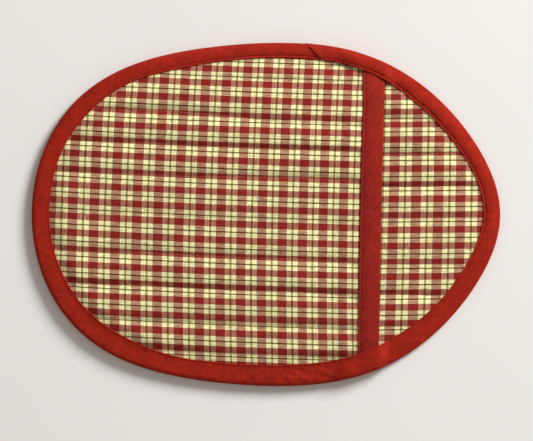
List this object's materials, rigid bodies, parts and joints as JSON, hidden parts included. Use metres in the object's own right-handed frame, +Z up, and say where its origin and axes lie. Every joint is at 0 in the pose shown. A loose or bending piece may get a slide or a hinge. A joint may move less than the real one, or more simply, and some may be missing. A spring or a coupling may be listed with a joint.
{
  "type": "oval pot holder with hand pocket",
  "caption": "Quilted oval pot holder in red and cream plaid cotton, with a hand pocket over its wide end and rust bias binding.",
  "frame": {"origin": "on the surface it lies on, under the middle of the oval's bounding box", "axes": "+X along the oval to its narrow end, which the pocket's mouth faces; +Y across it; +Z up out of the surface"},
  "size_m": [0.2724, 0.1996, 0.0171],
  "materials": {
    "plaid_pad": "woven red and cream plaid cotton, matte, quilted",
    "plaid_pocket": "woven red and cream plaid cotton, matte, quilted, a little off grain",
    "rust_mouth": "plain rust-red cotton bias tape, matte",
    "rust_edge": "plain rust-red cotton bias tape, matte"
  },
  "bodies": {
    "root": {"base_pad": "plaid_pad", "pocket_panel": "plaid_pocket", "mouth_binding": "rust_mouth", "edge_binding": "rust_edge"}
  },
  "joints": []
}
